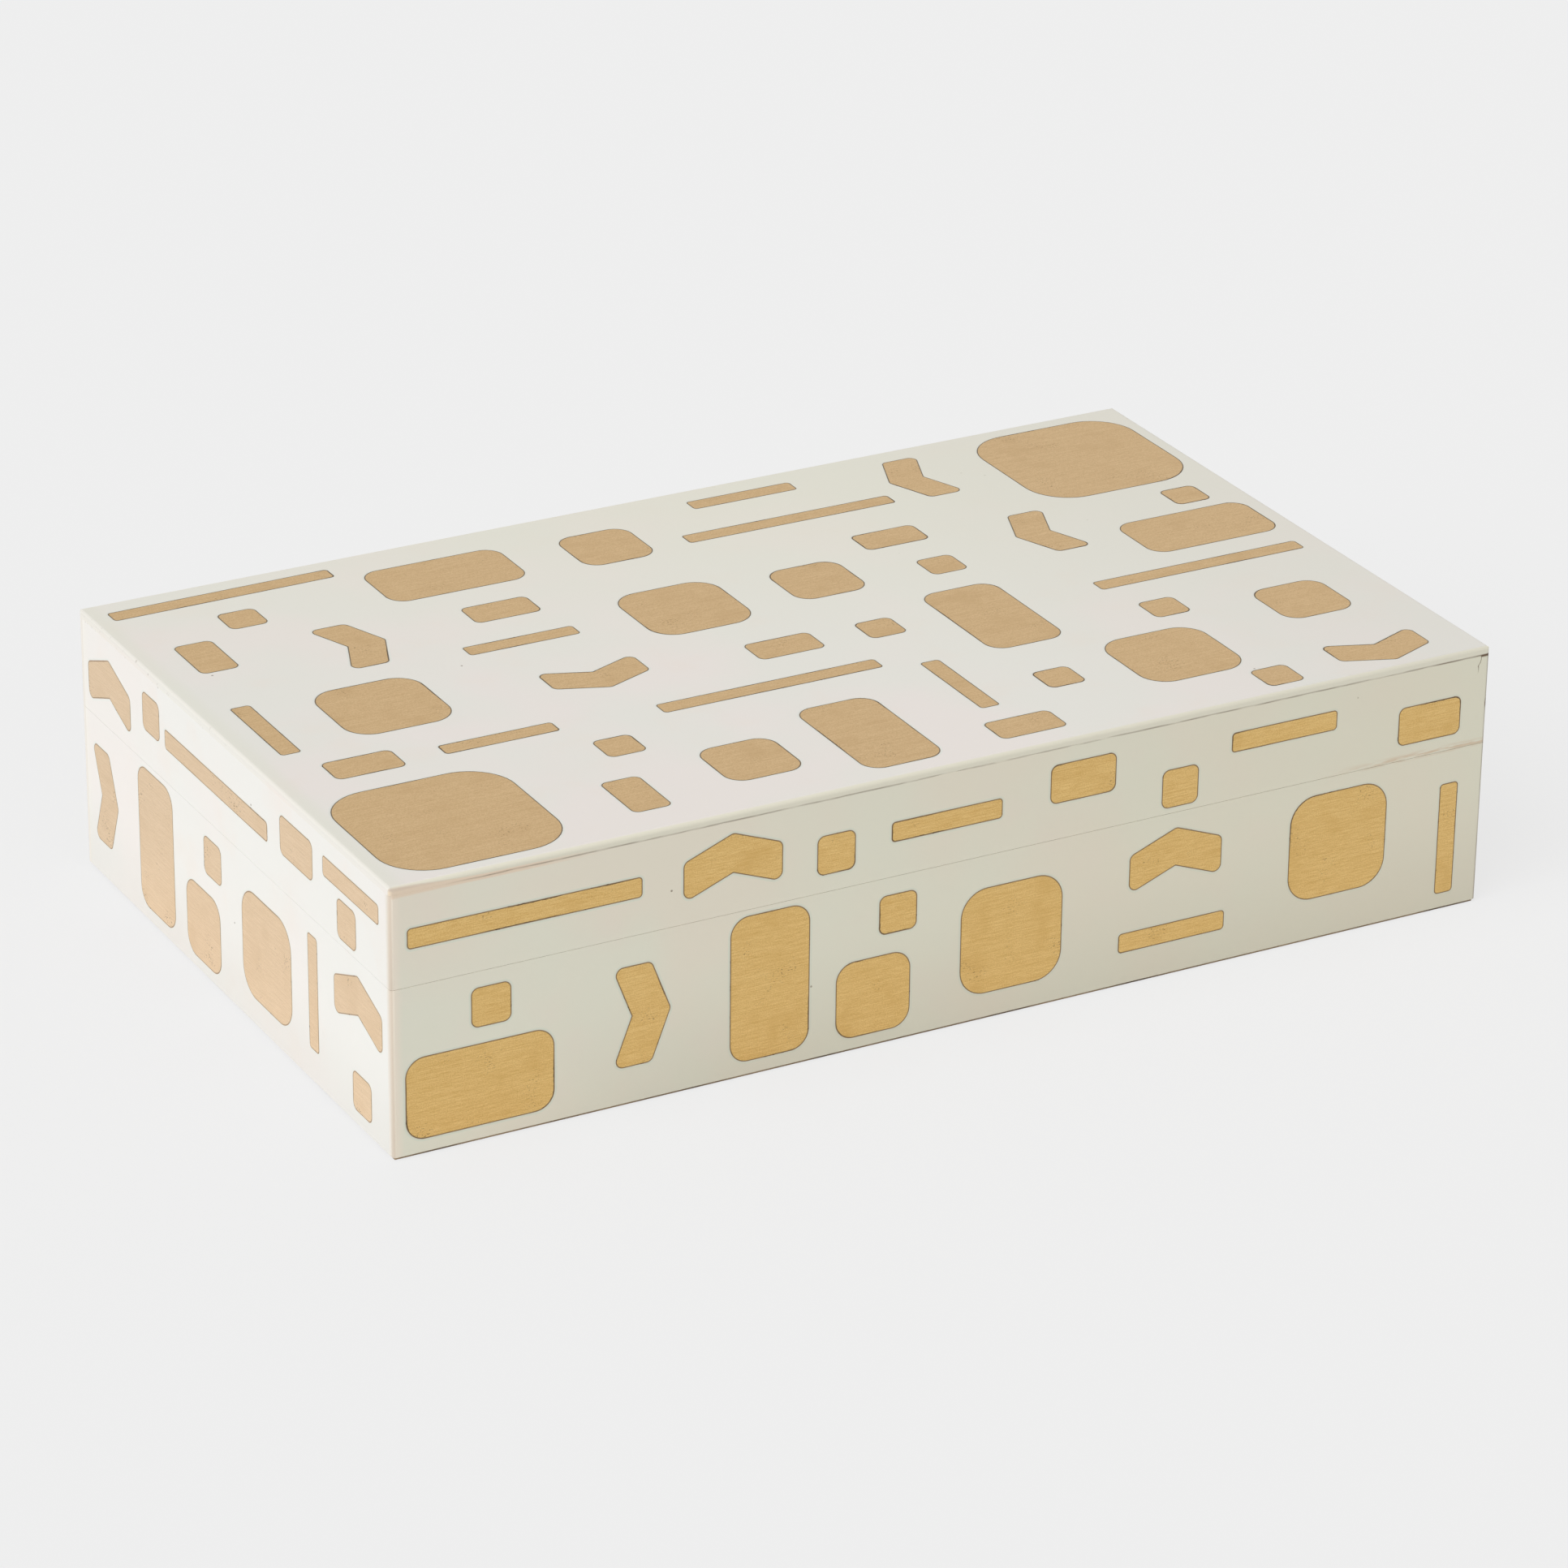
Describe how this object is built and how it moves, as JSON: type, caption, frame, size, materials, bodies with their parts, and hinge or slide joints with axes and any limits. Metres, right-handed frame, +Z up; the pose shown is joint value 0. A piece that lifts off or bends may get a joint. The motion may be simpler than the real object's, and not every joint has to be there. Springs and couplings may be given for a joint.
{
  "type": "inlaid wooden box",
  "caption": "Rectangular hinged wooden keepsake box, faced with ivory resin sheets inlaid with scattered brass squares, bars and chevrons.",
  "frame": {"origin": "centre of the box's footprint, on the surface it stands on", "axes": "+X right along the long front face, +Y from the front to the hinged back, +Z up through the lid"},
  "size_m": [0.3, 0.1845, 0.07],
  "materials": {
    "resin": "hand-polished ivory cast resin, faintly mottled",
    "inlay_brass": "sanded brass, fine straight scratches",
    "hinge_brass": "machined solid brass",
    "core_wood": "stained hardwood, satin",
    "lining": "short velvet pile",
    "underside_felt": "pressed felt"
  },
  "bodies": {
    "base": {"base_felt": "underside_felt", "base_bottom_board": "core_wood", "base_lining": "lining", "base_front_wall": "core_wood", "base_front_sheet": "resin", "base_front_inlays": "inlay_brass", "base_right_wall": "core_wood", "base_right_sheet": "resin", "base_right_inlays": "inlay_brass", "base_back_wall": "core_wood", "base_back_sheet": "resin", "base_back_inlays": "inlay_brass", "base_left_wall": "core_wood", "base_left_sheet": "resin", "base_left_inlays": "inlay_brass", "left_hinge_base_leaf": "hinge_brass", "left_hinge_pin": "hinge_brass", "left_hinge_base_screws": "hinge_brass", "right_hinge_base_leaf": "hinge_brass", "right_hinge_pin": "hinge_brass", "right_hinge_base_screws": "hinge_brass"},
    "lid": {"lid_top_board": "core_wood", "lid_lining": "lining", "lid_top_sheet": "resin", "lid_top_inlays": "inlay_brass", "lid_front_wall": "core_wood", "lid_front_sheet": "resin", "lid_front_inlays": "inlay_brass", "lid_right_wall": "core_wood", "lid_right_sheet": "resin", "lid_right_inlays": "inlay_brass", "lid_back_wall": "core_wood", "lid_back_sheet": "resin", "lid_back_inlays": "inlay_brass", "lid_left_wall": "core_wood", "lid_left_sheet": "resin", "lid_left_inlays": "inlay_brass", "left_hinge_lid_leaf": "hinge_brass", "left_hinge_lid_screws": "hinge_brass", "right_hinge_lid_leaf": "hinge_brass", "right_hinge_lid_screws": "hinge_brass"}
  },
  "joints": [
    {"name": "lid_hinge", "type": "hinge", "parent": "base", "child": "lid", "pos_m": [0, 0.09235, 0.0441], "axis": [-1, 0, 0], "range_deg": [0, 95]}
  ]
}
